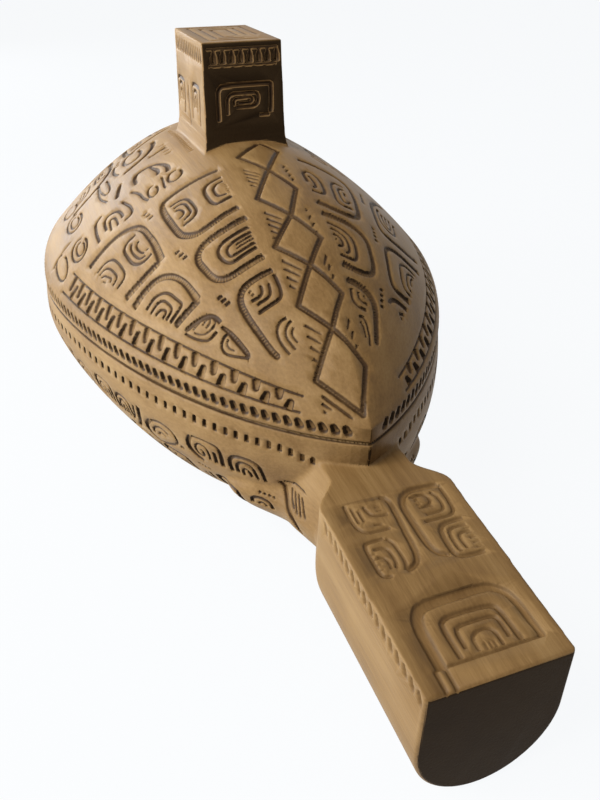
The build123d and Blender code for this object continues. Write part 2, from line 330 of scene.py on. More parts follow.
class Gouge:
    """Cuts strokes into a block of wood."""
    CELL = 5.0                  # of the grid in which the vertices are looked up
    MARKS = 1.25                # from one cross mark of the tool to the next
    STOP = 0.45                 # how fast a straight stop cut rises
    AT_ONCE = 16                # steps of a path that are worked on together

    def __init__(self, block):
        self.block = block
        count = len(block.data.vertices)
        flat = np.empty(count * 3)
        block.data.vertices.foreach_get("co", flat)
        self.points = flat.reshape(-1, 3) / MM
        flat = np.empty(count * 3)
        block.data.vertex_normals.foreach_get("vector", flat)
        self.normals = flat.reshape(-1, 3)
        self.depth = np.zeros(count)
        self.low = self.points.min(axis=0) - 1
        self.span = ((self.points.max(axis=0) - self.low) // self.CELL).astype(int) + 2
        cell = ((self.points - self.low) // self.CELL).astype(int)
        key = (cell[:, 0] * self.span[1] + cell[:, 1]) * self.span[2] + cell[:, 2]
        self.order = np.argsort(key, kind="stable")
        self.sorted = key[self.order]

    def near(self, low, high):
        """Numbers of the vertices in the cells that a box touches."""
        first = np.clip(((low - self.low) // self.CELL).astype(int), 0, self.span - 1)
        last = np.clip(((high - self.low) // self.CELL).astype(int), 0, self.span - 1)
        found = []
        for i in range(first[0], last[0] + 1):
            for j in range(first[1], last[1] + 1):
                row = (i * self.span[1] + j) * self.span[2]
                start = np.searchsorted(self.sorted, row + first[2], "left")
                end = np.searchsorted(self.sorted, row + last[2], "right")
                if end > start:
                    found.append(self.order[start:end])
        return np.concatenate(found) if found else np.zeros(0, int)

    def cut(self, path, width, depth, shape="round", taper=(0, 0), square=(False, False),
            chatter=0.0):
        """One stroke along path, a list of (place, outward direction).  Width and depth are
        numbers or a value at each of a few even stations; taper is how far the tool runs in and
        out at the two ends; square ends it with a straight stop cut, at the start or the end;
        chatter is the depth of the tool's cross marks on the floor of the cut."""
        if len(path) < 3:
            return
        spots = np.array([p for p, _ in path])
        outs = np.array([n for _, n in path])
        run = run_of(spots)
        ways = np.gradient(spots, axis=0)
        ways /= np.linalg.norm(ways, axis=1)[:, None] + 1e-9
        sides = np.cross(ways, outs)
        sides /= np.linalg.norm(sides, axis=1)[:, None] + 1e-9
        part_run = run / max(run[-1], 1e-6)
        width = np.atleast_1d(width)
        depth = np.atleast_1d(depth)
        wide = np.interp(part_run, np.linspace(0, 1, len(width)), width) / 2
        deep = np.interp(part_run, np.linspace(0, 1, len(depth)), depth)
        ease = np.ones(len(run))
        if taper[0]:
            ease = np.minimum(ease, np.sin(np.clip(run / taper[0], 0, 1) * math.pi / 2))
        if taper[1]:
            left = np.clip((run[-1] - run) / taper[1], 0, 1)
            ease = np.minimum(ease, np.sin(left * math.pi / 2))
        wide = wide * (0.4 + 0.6 * ease)
        deep = deep * ease
        for start in range(0, len(spots) - 1, self.AT_ONCE):
            part = slice(start, min(start + self.AT_ONCE + 1, len(spots)))
            reach = wide[part].max() + 0.7
            rows = self.near(spots[part].min(axis=0) - reach, spots[part].max(axis=0) + reach)
            if not len(rows):
                continue
            away = self.points[rows][:, None, :] - spots[part][None, :, :]
            nearest = (away ** 2).sum(axis=2).argmin(axis=1)
            away = away[np.arange(len(rows)), nearest]
            nearest = nearest + start
            across = (away * sides[nearest]).sum(axis=1) / wide[nearest]
            along = (away * ways[nearest]).sum(axis=1)
            off = np.abs((away * outs[nearest]).sum(axis=1))
            last = (nearest == 0) & (along < 0) | (nearest == len(spots) - 1) & (along > 0)
            blunt = np.where(nearest == 0, square[0], square[1])
            beyond = np.abs(along) / np.where(last & blunt, self.STOP, wide[nearest])
            radius = np.sqrt(across ** 2 + beyond ** 2)
            inside = np.clip(1 - radius, 0, 1)
            facing = (self.normals[rows] * outs[nearest]).sum(axis=1) > 0.2
            if shape == "round":
                form = 1 - np.minimum(radius, 1) ** 3.2
            elif shape == "scoop":
                form = np.minimum(inside / 0.6, 1) ** 0.8
            elif shape == "vee":
                form = 1 - np.minimum(radius, 1) ** 1.9
            else:
                form = np.minimum(inside / 0.3, 1)
            if chatter:
                marks = 0.5 + 0.5 * np.cos(run[nearest] * math.tau / self.MARKS)
                form = form * (1 - chatter * marks)
            np.maximum.at(self.depth, rows,
                          np.where(facing & (off < 3) & (inside > 0), form * deep[nearest], 0))

    def finish(self):
        """Presses the cuts in, keeps their depth on the wood as the attribute cut, and thins the
        mesh where it is flat."""
        moved = (self.points - self.normals * self.depth[:, None]) * MM
        self.block.data.vertices.foreach_set("co", moved.ravel())
        self.block.data.update()
        keep = self.block.data.attributes.new("cut", "FLOAT", "POINT")
        keep.data.foreach_set("value", self.depth)
        faces = len(self.block.data.polygons) * 2
        if faces > TRIANGLES:
            worked(self.block, "DECIMATE", ratio=TRIANGLES / faces)
        bpy.ops.object.select_all(action="DESELECT")
        self.block.select_set(True)
        bpy.ops.object.shade_smooth()
        print("carved", self.block.name, len(self.points), "->", len(self.block.data.polygons))


def drawn(points, step=0.5, ease=3):
    """A smooth line through points on the flat, as evenly spaced places; ease rounds it more."""
    pts = np.array(points, float)
    ahead = np.vstack([2 * pts[0] - pts[1], pts, 2 * pts[-1] - pts[-2]])
    line = []
    for number in range(len(pts) - 1):
        a, b, c, d = ahead[number:number + 4]
        pieces = max(2, int(np.linalg.norm(c - b) / step))
        for k in range(pieces):
            t = k / pieces
            line.append(0.5 * (2 * b + (c - a) * t + (2 * a - 5 * b + 4 * c - d) * t ** 2
                               + (3 * b - a - 3 * c + d) * t ** 3))
    line.append(pts[-1])
    line = even_places(np.array(line), step)
    for _ in range(ease):
        line[1:-1] = 0.25 * line[:-2] + 0.5 * line[1:-1] + 0.25 * line[2:]
    return line


def straight(points, step=0.5):
    """A line with sharp corners through points on the flat."""
    return even_places(np.array(points, float), step)


def even_places(line, step):
    """Evenly spaced places along a line."""
    run = run_of(line)
    even = np.linspace(0, run[-1], max(4, int(run[-1] / step) + 1))
    return np.column_stack([np.interp(even, run, line[:, 0]), np.interp(even, run, line[:, 1])])


RIGHT = FRONT = 1
LEFT = REAR = -1


def from_above(skin, line, side=RIGHT, end=FRONT):
    """A line drawn in (distance out from the keel, distance from the knob), laid on the wood from
    above, to the right or left of the keel and before or behind the knob."""
    return laid(skin, [((side * x, -end * y, 300), (0, 0, -1)) for x, y in line])


lid_skin = seasoned(lid, 5)
lid_gouge = Gouge(lid)


def channel(points, width, depth, taper=(0, 0), side=RIGHT, end=FRONT):
    """A wide gouge cut with stop cuts at both ends and the tool's marks along its floor."""
    path = from_above(lid_skin, drawn(points, ease=10), side, end)
    lid_gouge.cut(path, np.multiply(width, 1.1), depth, "round", taper,
                  (not taper[0], not taper[1]), 0.22)


def groove(points, width, depth=0.9, side=RIGHT, end=FRONT):
    """A narrow veiner cut."""
    path = from_above(lid_skin, drawn(points), side, end)
    lid_gouge.cut(path, width, depth, "vee", (0.3, 0.3))


def oval(x, y, across, along, width, side=RIGHT, end=FRONT):
    """A ring that stays a little open."""
    turns = [k * math.tau / 14 + 0.9 for k in range(14)]
    groove([(x - across * math.cos(turn), y - along * math.sin(turn)) for turn in turns], width,
           side=side, end=end)


def tick(x, y, across, along, width=1.4, depth=0.85, side=RIGHT, end=FRONT):
    """A short cut that runs out at its far end."""
    path = from_above(lid_skin, straight([(x, y), (x + across, y + along)]), side, end)
    lid_gouge.cut(path, (width, width * 0.7), (depth, depth * 0.6), "vee", (0.2, 1.2))


def dashes(x, y, across, along, length=-2.4, count=3, side=RIGHT, end=FRONT):
    """A short row of dashes."""
    for number in range(count):
        start = (x + across * number, y + along * number)
        line = straight([start, (start[0] + length, start[1] + 0.5)])
        lid_gouge.cut(from_above(lid_skin, line, side, end), 1.6, 0.9, "vee", (0.3, 0.3))


# Two crossing zigzags along the keel, and the combs of tapered ticks in their outer angles.


def keel_zigzags(end):
    for corners in ([(-3.5, 30), (8.5, 42.5), (0.5, 58), (11, 76.5), (2, 89.5), (12.5, 101.5),
                     (3, 112.5), (11.8, 124), (3.3, 134.5), (13, 144.5), (1.5, 158.5)],
                    [(-5.5, 30), (-9.6, 39.5), (0.5, 58), (-5.5, 74), (2, 89.5), (-5.2, 101.8),
                     (3, 112.5), (-4.6, 124), (3.3, 134.5), (-4.6, 146), (1.5, 158.5)]):
        for a, b in zip(corners[:-1], corners[1:]):
            path = from_above(lid_skin, straight([a, b]), LEFT, end)
            lid_gouge.cut(path, 2.5, 1.1, "vee", chatter=0.15)
    for top, out, lengths in ((54.5, 10.3, (8, 7.5, 6.5, 5, 3.5)),
                              (85, 11.3, (8.5, 8, 7, 5.5, 3.5)),
                              (107.5, 12.2, (9, 7.2, 5.2, 3.4)), (130, 11.8, (7, 6.2, 5, 3.6))):
        for number, length in enumerate(lengths):
            tick(out + 0.15 * number, top + 3.1 * number, -0.68 * length, 0.73 * length,
                 side=LEFT, end=end)
    path = from_above(lid_skin, straight([(12.6, 148.3), (4.3, 158.6)]), LEFT, end)
    lid_gouge.cut(path, 1.5, 0.8, "vee", (1, 3))
    tick(13, 150, -3, 3.4, side=LEFT, end=end)
    tick(13.2, 151.6, -1.4, 1.6, side=LEFT, end=end)
    for top, out, lengths in ((55, -7.4, (3.8, 3.6, 3.3, 3)), (87, -5.2, (2.2, 3, 2.8, 2.4)),
                              (109.5, -4.3, (5.5, 3.4, 2.8)), (132.5, -3.9, (4.6, 3.2, 2))):
        for number, length in enumerate(lengths):
            tick(out + 0.1 * number, top + 3.8 * number, 0.5 * length, 0.87 * length,
                 side=LEFT, end=end)


# Flanks.  Wide channels bend round nests of narrower cuts; between them stand short dashes.  Each
# figure is a list of strokes: the tool, then what it is told.

# A tall arch open at its lower corner, round two nests of arcs that face each other, and an arch
# that leans to the point, with three arcs nested in it.
arches = (
    (channel, [(73.3, 32.3), (67, 32.4), (61, 33.8), (56.5, 37), (53, 41.5), (51, 47), (50, 54),
     (49.3, 60), (49, 66), (48.9, 71.5)], (3.4, 3.2, 3, 4.2), 1.25),
    (channel, [(63.6, 68.2), (57, 69.9), (49.6, 71.3)], 3.4, 1.25),
    (groove, [(71.6, 40.5), (67.5, 41), (64.5, 44), (63, 49), (62, 55), (61.9, 58.3), (63, 59.9),
     (66, 59.8)], 1.6),
    (groove, [(71, 43.3), (68.2, 43.8), (66.5, 46.5), (65.3, 51), (64.7, 54.5), (65.4, 56),
     (67.4, 55.9)], 1.4),
    (groove, [(70.5, 45.7), (69, 46.6), (67.6, 50), (66.7, 52.8), (67.8, 53.4)], 1.2),
    (groove, [(70.2, 48), (69, 51)], 1.1, 0.6),
    (groove, [(53.8, 45.3), (57.5, 44.6), (59.6, 46.5), (59.3, 52), (58.2, 58), (56, 62),
     (53.3, 63.8), (50.8, 63.8)], 2, 0.95),
    (groove, [(56.3, 47.8), (57.3, 50.5), (56.8, 55), (55.3, 60), (53, 61.6)], 1.5),
    (groove, [(53.3, 51.2), (54.9, 51.3), (55.2, 53.5), (54.4, 57.5), (53.2, 60)], 1.3),
    (groove, [(52.8, 59.3), (51.2, 60.2)], 1.2, 0.7),
    (channel, [(61.8, 75.3), (57, 75.4), (52, 77), (48.5, 80.5), (46, 84.5), (44, 89.5),
     (42.6, 95), (41.6, 99)], (3.6, 3.2, 2.6, 3.6), 1.25),
    (channel, [(50.2, 98.2), (46, 98.9), (41.4, 99.6)], 2.8, 1.1),
    (groove, [(58.3, 82), (54.5, 82), (51.5, 84), (49.5, 87), (47.8, 91.5), (46.6, 94.8),
     (48, 95.4), (51.8, 95.5)], 1.7, 0.9),
    (groove, [(57.3, 85), (54, 85), (52, 86.5), (50.7, 89.5), (50, 92.4), (51, 93.1), (53, 93.2)],
     1.5),
    (groove, [(56, 87.6), (53.8, 88), (52.5, 89.5), (52, 91.2), (54, 91.4)], 1.4),
)
# A leaf, with a teardrop below it.
leaf = (
    (channel, [(48, 102.9), (44, 104.4), (40, 106.5), (37.6, 109.5), (36.6, 112.3)], 2, 0.9,
     (2, 0.5)),
    (groove, [(48, 103.4), (46, 107), (43.5, 110.5), (41, 112.8), (38, 113.2)], 1.3),
    (groove, [(45.6, 105.3), (42, 106), (39, 108.2), (38, 110.8), (40.5, 110.9), (43, 109.3),
     (45.2, 106.4)], 1.1, 0.6),
    (groove, [(42.4, 107.5), (40.4, 107.2), (39.2, 108.4), (40.3, 109.4), (41.6, 108.8)], 1.1,
     0.6),
    (groove, [(38.5, 111), (40, 111.2)], 1.1, 0.7),
    (channel, [(36.8, 113), (35, 116.3), (33, 121), (30.4, 127.6)], (1.4, 2.4, 2), 1.1, (1, 3)),
    (groove, [(35.2, 116.6), (37.4, 116.5), (38.2, 118.5), (36.5, 121.5), (33.5, 124.6),
     (30.8, 127.3)], 1.3),
    (groove, [(35.2, 118), (36.4, 118.2), (36.2, 119.8), (34.5, 122.2)], 1.1, 0.6),
)
# Two boxes and a hook that open to the keel.
boxes = (
    (channel, [(19, 47.6), (25, 46), (31, 44.5), (38, 43), (41.2, 43.2), (42.2, 46), (42.3, 52),
     (41.8, 58), (41, 65), (40, 70), (37.5, 74), (34, 76.8), (28, 77.4), (19, 77.3)],
     (2.4, 2.6, 3.4, 3.2, 3.0), 1.2),
    (groove, [(39.8, 49.5), (36.5, 50.5), (34, 52.5), (32.8, 56), (32.2, 62), (32.3, 65.3),
     (34, 67.1), (38.4, 66.8)], 1.7, 0.9),
    (groove, [(39, 52.6), (36.2, 53.5), (34.6, 56), (34.2, 60.5), (34, 63.2), (35.5, 64.2),
     (37.5, 64)], 1.5),
    (groove, [(38.8, 55), (37, 56.5), (36.3, 59), (36.5, 61.2), (38.8, 61.3)], 1.3),
    (groove, [(18.8, 54), (24.3, 54), (26.6, 56), (27, 61), (26.5, 66), (25.3, 69), (23, 69.6),
     (18.8, 69.6)], 2.1, 1),
    (groove, [(19, 57.3), (22.3, 57.5), (23.7, 59.3), (23.8, 63), (23, 65.6), (20, 66.7)], 1.6,
     0.85),
    *[(tick, 18.6, 59 + 1.5 * number, 1.4, 0.4, 1, 0.6) for number in range(6)],
    (channel, [(18, 84.3), (25, 84.1), (33, 83.4), (36.8, 84.3), (37.8, 87.5), (36.8, 92),
     (35.5, 96.5), (33.5, 100), (30, 102.3), (25, 103), (17.6, 103.1)], (3, 3.2, 3, 2.8, 2.8),
     1.2),
    (groove, [(18, 89), (27, 88.8), (30.3, 89.5), (31, 91.8), (30.3, 95), (28.5, 97.8),
     (26, 98.7), (18, 98.6)], 1.8, 0.95),
    (groove, [(18, 91.5), (26, 91.5), (28, 92.6), (28, 94.5), (26.5, 96.4), (18, 96.5)], 1.5,
     0.85),
    (groove, [(25, 93.1), (18, 93.1)], 1.1, 0.7),
    (groove, [(25.3, 94.6), (18, 94.6)], 1.1, 0.7),
    (channel, [(16.4, 109.3), (21, 109), (26, 108.9), (28.6, 110.3), (29.1, 113.5), (28, 118.5),
     (26.2, 124), (24, 130), (22, 133.8)], (2.2, 2.6, 2.8, 2.6, 2.4), 1.15, (0, 1.5)),
    (groove, [(16.2, 110.8), (15.8, 114), (15.9, 118), (17.5, 119.4), (24.6, 119.2)], 1.7, 0.9),
    (groove, [(18.8, 112.6), (19, 115.3), (20, 116.8), (24.6, 116.7)], 1.4),
    (groove, [(21.6, 111.6), (21.4, 113.7), (22.7, 115), (26, 114.5)], 1.5),
    (groove, [(24.4, 111.2), (26, 111.9)], 1, 0.6),
    (groove, [(23.9, 112.8), (25.4, 113.3)], 1, 0.6),
    (groove, [(16.3, 125.6), (18.6, 125.3), (20.4, 126.5), (20.8, 128.7), (19.9, 132),
     (18.5, 134.9)], 1.3, 0.75),
    (groove, [(15, 127), (17, 127.5), (18.3, 129), (18, 131.2), (16.5, 134.7)], 1.2, 0.7),
    (groove, [(15, 129), (16.2, 129.6), (16.3, 131.2), (15.2, 133.5)], 1.1, 0.65),
    (dashes, 49.4, 38.6, -0.7, 3), (dashes, 44.3, 75.6, -0.9, 2.6),
    (dashes, 36, 105.2, -0.9, 1.9),
)
# Ovals, hooks and curved cuts beside the knob.
shoulder = (
    (channel, [(63.4, 6.3), (66.3, 7.5), (67, 12), (67.4, 18), (67.3, 24.3)], 1.9, 0.9),
    (groove, [(63.4, 22.5), (63.2, 15.5), (61.8, 12.6), (59.5, 13), (57, 16), (56.1, 20),
     (55.8, 25.5)], 2, 0.95),
    (groove, [(61.6, 26.5), (61.3, 20.5), (60.8, 17.3), (59, 18.6), (58.5, 22.5), (58.6, 27.5)],
     1.6, 0.85),
    (groove, [(54, 12), (53, 17), (52, 23), (52.4, 29), (56, 28.8)], 1.9, 0.9),
    (oval, 42.3, 27, 2.1, 5.1, 1.5), (oval, 32.6, 28.6, 3, 4.9, 1.7),
    (oval, 75.4, 12.6, 3.7, 8.4, 1.6), (oval, 75, 13, 1.9, 5.4, 1.3),
    (oval, 74.2, -19.5, 3.9, 10.6, 1.6), (oval, 74, -19, 2.1, 7, 1.3),
    (oval, 41.6, -32, 4.4, 8.8, 2.4), (oval, 84.2, 9, 2.6, 11, 1.4),
    (oval, 74, -46, 3.6, 9, 1.6), (oval, 57.5, -24, 2.2, 14, 1.4),
    (channel, [(49.8, 10), (48, 15), (46.9, 20), (46.4, 26), (45, 31.5)], 1.6, 0.8, (2, 1)),
    (groove, [(37, 20.5), (37.3, 26), (37.9, 31), (37.5, 33.7)], 1.5),
    (channel, [(46.3, 7.5), (46, 1.5), (44.3, -2), (40, -0.7), (36.2, 3), (33.9, 8), (32.8, 14),
     (33.6, 19.6)], (1.8, 2.8, 1.6, 2.2, 2.8), 1.1),
    (channel, [(38.6, 1), (37.4, 7), (36.8, 12), (37.8, 16)], (1.2, 2.4, 2), 0.9, (1, 1)),
    (channel, [(51.2, -8), (53, -3), (55.2, 4.6)], (1.2, 2.8, 2.4), 1.1, (2, 0.6)),
    (channel, [(48, -16.3), (42, -16), (36.5, -17.8), (33, -22.3), (31.3, -28), (30.6, -34)], 2.8,
     1.2, (0, 2)),
    (channel, [(50.2, -21), (51.4, -28), (51, -36), (49, -43)], 1.8, 0.9, (2, 2)),
    (channel, [(59, -1), (61, -12), (60.6, -24), (59, -38)], 1.4, 0.8, (1, 2)),
    (channel, [(88, 3), (86, -1.2), (82, -2.6), (77.5, -2.4)], 1.4, 0.7, (2, 2)),
    (channel, [(37, -10.5), (33, -10), (28, -10.2)], 1.8, 0.8, (1, 1)),
    *[(tick, 27.8, 4 * number - 16, 3.4, -0.6, 1.5, 0.7) for number in range(5)],
    *[(tick, 20.4, 2.3 * number - 34.5, 2.6, -0.3, 1.15, 0.75) for number in range(22)],
)
# Right flank, as dense: broad bands that bend towards the edge.
right_flank = (
    (channel, [(16, 47.6), (20, 49.2), (25, 51.5), (29, 53), (32.2, 55), (33.5, 58.5), (33.2, 64),
     (31.5, 72), (29.5, 79), (28, 84), (25.5, 87.2), (21, 87.6), (16, 85.6), (11.2, 82.6)],
     (3.2, 3.6, 2.2, 2.2, 2.8, 3.2), 1.2),
    (groove, [(12.3, 69), (12.8, 62.5), (14.2, 60), (16.5, 60.5), (18, 63.5), (18.3, 68),
     (17.8, 72), (17, 75.5), (15.3, 76.8), (11.6, 75)], 1.8, 0.95),
    (groove, [(14.4, 63.5), (15, 66.5), (15, 70), (14.3, 72.6), (12.8, 72.5)], 1.4),
    (groove, [(29.5, 64), (26, 63.4), (23.8, 65.5), (22.5, 69), (21.5, 74), (20.6, 79.3),
     (22, 81.8), (26.5, 82.2)], 1.6, 0.9),
    (groove, [(28.5, 67), (25.5, 68.5), (24.5, 72), (23.8, 77), (24.7, 79), (27.5, 76.5)], 1.4),
    (groove, [(27.6, 70), (26.4, 73.5)], 1.2),
    (channel, [(10.5, 89.4), (15, 91.2), (20, 93.3), (23.5, 96), (24.8, 99.8), (24, 105),
     (22.9, 110), (21.2, 113.6), (18.3, 115.2), (14, 114.8), (9.6, 112.8)],
     (3.0, 3.2, 2.2, 2.4, 3.0), 1.2),
    (groove, [(10.3, 94), (14, 96), (17, 98.4), (18.3, 101.5), (17.8, 105.5), (16.6, 109),
     (14.5, 110.6), (9.7, 108.8)], 1.7, 0.9),
    (groove, [(10.3, 97), (13, 98.4), (15, 100.5), (15.3, 104), (14.5, 107), (12.5, 108.2)], 1.4),
    (groove, [(10.3, 99.8), (12.3, 100.6), (13.3, 102.6), (12.7, 105), (10.3, 105.2)], 1.3),
    (groove, [(10.4, 102.2), (11.4, 102.5)], 1, 0.6),
    (channel, [(8.7, 118.9), (12, 120.2), (15, 122), (16.5, 124.7), (16, 128), (14.8, 131.3),
     (13, 136), (11.8, 139.2)], (2.6, 3, 2.4, 2.2), 1.1, (0, 1.5)),
    (groove, [(8.9, 121.8), (8, 125.8), (9.3, 128), (12.2, 129)], 1.5, 0.8),
    (groove, [(11.3, 122.6), (10.8, 125.4), (13.5, 127)], 1.2, 0.7),
    (groove, [(12.9, 123.5), (13.4, 125)], 1, 0.6),
    (groove, [(7.8, 131.4), (9.7, 131.2), (10.3, 133), (9.8, 137), (8.8, 140)], 1.3, 0.7),
    (groove, [(7.7, 132.7), (8.6, 134), (8.2, 137.8)], 1.2, 0.7),
    (channel, [(60, 38.5), (54, 45), (49.5, 51.5), (45.5, 58.5), (42, 67), (39.5, 75), (37.8, 82),
     (38.3, 85.8), (42, 86.3), (48, 84.6), (53.5, 82), (58, 78.8)],
     (2.6, 2.6, 2.4, 2.2, 3.0, 2.6), 1.2),
    (groove, [(55.5, 60.5), (52.8, 66), (50.6, 72), (47.8, 77), (44, 78.8), (42.2, 76.5),
     (43.4, 70.5), (46.2, 63), (49, 57.5)], 1.7, 0.9),
    (groove, [(53, 60.5), (50.5, 66.5), (48.4, 72), (46, 75.8), (44.6, 74.5), (46, 68.5),
     (48.4, 62.5)], 1.4),
    (groove, [(50.8, 61.5), (48.4, 67), (46.8, 71.8)], 1.2),
    (channel, [(53.4, 89.6), (48, 91.6), (42, 93), (37, 94.6), (34, 97.2), (32.5, 101.3),
     (31, 106), (29.6, 111), (29.2, 115), (31.3, 116.2), (35.6, 116)], (2.6, 2.8, 2, 2, 2.8),
     1.2),
    (groove, [(48.5, 96), (43, 97.2), (39.5, 99.6), (37.6, 104), (36, 109), (36.2, 111.8),
     (38.8, 112.2)], 1.6, 0.9),
    (groove, [(46.6, 98.6), (42.6, 100.6), (40.5, 104), (38.9, 108.6), (40.3, 109.8)], 1.4),
    (groove, [(44.8, 100.6), (42.6, 103.4), (41.4, 106.6)], 1.2),
    (channel, [(32.4, 120.6), (28, 120.3), (25.5, 121), (23.6, 123)], 1.9, 0.9, (0, 1)),
    (groove, [(30, 123.5), (27, 124.6)], 1.4),
    (groove, [(28.6, 125.4), (27, 126)], 1.2),
    (channel, [(42, 54), (40, 60), (38, 66), (36.8, 68.6)], (1.2, 1.6, 2), 0.9, (2, 0.4)),
    (dashes, 31.4, 88.2, -0.6, 2.4, 1.8, 4),
    (dashes, 21.2, 119, -0.8, 2.1, 1.8, 4),
)

# The front left quarter as it is; the rear repeats it on both sides, and the right shoulder the
# left one.
left_flank = arches + leaf + boxes
for side, end, strokes in ((LEFT, FRONT, left_flank + shoulder), (LEFT, REAR, left_flank),
                           (RIGHT, REAR, left_flank), (RIGHT, FRONT, shoulder + right_flank)):
    for tool, *told in strokes:
        tool(*told, side=side, end=end)
for end in (FRONT, REAR):
    keel_zigzags(end)

# Fluted band: two knife lines round the dome's edge, and between them scoops that start in turn
# from the one and the other.  Below it a row of small slanted notches in the edge band.


def walk_round(skin, height):
    """The outline at a height, from the point round the right side to the rear, as distance,
    place and outward direction; the left side is its mirror image."""
    places = []
    for turn in np.linspace(0, math.pi, 721):
        way = np.array([math.sin(turn), -math.cos(turn), 0])
        hit = touch(skin, way * 300 + np.array([0, 0, height]), -way)
        if hit is not None:
            places.append(hit[0][:2])
    places = even_places(np.array(places), 0.5)
    ways = np.gradient(places, axis=0)
    ways /= np.linalg.norm(ways, axis=1)[:, None]
    run = run_of(places)
    return run, places, np.column_stack([ways[:, 1], -ways[:, 0]])


def inset_place(walk, side, along, inset):
    """The plan place a distance round from the point and an inset in from the outline, and the
    outward direction there."""
    run, places, outs = walk
    out = [np.interp(along, run, outs[:, k]) for k in (0, 1)]
    x, y = (np.interp(along, run, places[:, k]) - inset * out[k] for k in (0, 1))
    return side * x, y, side * out[0], out[1]


lid_walk = walk_round(lid_skin, 68)


def near_edge(side, line):
    """A line drawn in (distance round from the point, inset), laid on the dome."""
    return from_above(lid_skin, [inset_place(lid_walk, side, along, inset)[:2]
                                 for along, inset in line], end=REAR)


def on_flank(skin, walk, side, line):
    """A line drawn in (distance round from the point, height), laid on an upright face."""
    rays = []
    for along, height in line:
        x, y, out_x, out_y = inset_place(walk, side, along, -30)
        rays.append(((x, y, height), (-out_x, -out_y, 0)))
    return laid(skin, rays)


FLUTE_PITCH = 9.2               # from one scoop to the next that opens the same way
BAND_START = 29.0               # from the point round to the band's first scoop
NOTCH_PITCH = 4.2
HALF_ROUND = 392                # from the point round one side to the rear


def band_insets(along):
    """How far in from the edge the band's two lines lie."""
    return 1.3 + 0.010 * (along - BAND_START), 4.1 + 0.032 * (along - BAND_START)


for side in (LEFT, RIGHT):
    for which, reach in ((0, -0.2), (1, 0.2)):
        line = [(along, band_insets(along)[which] + reach) for along in np.arange(25, 168, 0.4)]
        lid_gouge.cut(near_edge(side, line), 1.15, 0.8, "vee")
    for number in range(30):
        along = BAND_START + number * FLUTE_PITCH / 2
        edge, crown = band_insets(along)
        if number % 2 == 0:
            start, end = edge, edge + (crown - edge) * 0.82 - 1.2
        else:
            start, end = crown, edge + (crown - edge) * 0.18 + 1.2
        line = straight([(along + 0.25, start), (along - 0.25, end)], 0.3)
        lid_gouge.cut(near_edge(side, line), (3.7, 3.5, 3.0), (1.5, 1.35, 1.1), "scoop",
                      square=(True, False))
    for number in range(90):
        along = 8 + number * NOTCH_PITCH
        line = straight([(along - 0.4, 68.7), (along + 0.4, 70.6)], 0.3)
        lid_gouge.cut(on_flank(lid_skin, lid_walk, side, line), (3.2, 2.6), (1.15, 0.95), "scoop")
    # the seam, its edge broken; its dark colour is partly wax, partly painted shade of the gap
    line = [(along, SEAM + 0.15) for along in np.arange(0, HALF_ROUND, 0.5)]
    lid_gouge.cut(on_flank(lid_skin, lid_walk, side, line), 1.7, 0.7, "vee")

# The knob's four sides: a row of notches under the top and a squared spiral or tall boxes below.


def from_end(line, back):
    """A line drawn in (x, z), laid on the knob from its front or its back."""
    return laid(lid_skin, [((x * back, -60 * back, z), (0, back, 0)) for x, z in line])


def from_side(skin, line, side, away=60):
    """A line drawn in (distance from the middle to the front, height), laid on the wood from its
    right or left."""
    return laid(skin, [((away * side, -y, z), (-side, 0, 0)) for y, z in line])


for back in (1, -1):
    for number in range(8):
        x = -12.2 + number * 3.78
        lid_gouge.cut(from_end(straight([(x, 162.8), (x + 0.2, 166.8)]), back), (3.1, 2.8, 1.6),
                      (1.5, 1.2, 0.8), "vee", square=(True, False))
    for line, width in (([(-14.5, 161.7), (14.5, 161.7)], 0.9), ([(-15, 168.0), (15, 168.0)], 1.0),
                        ([(-11.4, 140), (-11.3, 150.8), (-10.2, 153.2), (-7.5, 154.1), (10, 154.2),
                          (11.7, 152.8), (11.4, 142.6)], 2.1),
                        ([(-7.5, 142.6), (-7.2, 148.8), (-6, 150.4), (-3.8, 150.9), (4.6, 151),
                          (6, 149.8), (5.8, 147.2), (4.3, 145.8), (-4, 145.5)], 1.6),
                        ([(-4.4, 145.9), (-4.4, 148.5), (-3.2, 149), (3.1, 149.2), (3.6, 148),
                          (2.8, 147.3), (-3.1, 147)], 1.2),
                        ([(6, 142), (11, 142)], 1.3)):
        lid_gouge.cut(from_end(drawn(line), back), width, 1.0, "vee", (0.4, 0.4))
for side in (LEFT, RIGHT):
    for number in range(14):
        y = 22.4 - number * 3.42
        lid_gouge.cut(from_side(lid_skin, straight([(y, 163.6), (y - 0.3, 167.2)]), side),
                      (2.6, 1.9), (1.2, 0.7), "scoop")
    for line, width in (([(-3, 150.6), (-3.2, 144), (-1.6, 138), (-0.6, 134.2)], 1.8),
                        ([(4.2, 137.5), (4.4, 150), (6, 152.3), (15.5, 152.4), (17.8, 150.8),
                          (17.6, 137.2)], 1.9),
                        ([(7, 142.5), (6.8, 148.4), (8.4, 150), (12.4, 150), (13.8, 148.4),
                          (13.6, 142)], 1.5),
                        ([(9.4, 143.4), (9.2, 147.2), (11.4, 147.2), (11.6, 143.4)], 1.2),
                        ([(-12, 137), (-10.6, 142), (-10.4, 149.6), (-12.4, 151), (-22.5, 151),
                          (-24, 149.4), (-24.2, 138)], 1.9),
                        ([(-14, 142), (-13.8, 147.4), (-15.4, 149), (-19.8, 149), (-21, 147.4),
                          (-21, 141)], 1.5),
                        ([(-16.2, 142), (-16.2, 146), (-18.6, 146), (-18.8, 142)], 1.2)):
        lid_gouge.cut(from_side(lid_skin, drawn(line), side), width, 1.0, "vee", (0.4, 0.4))
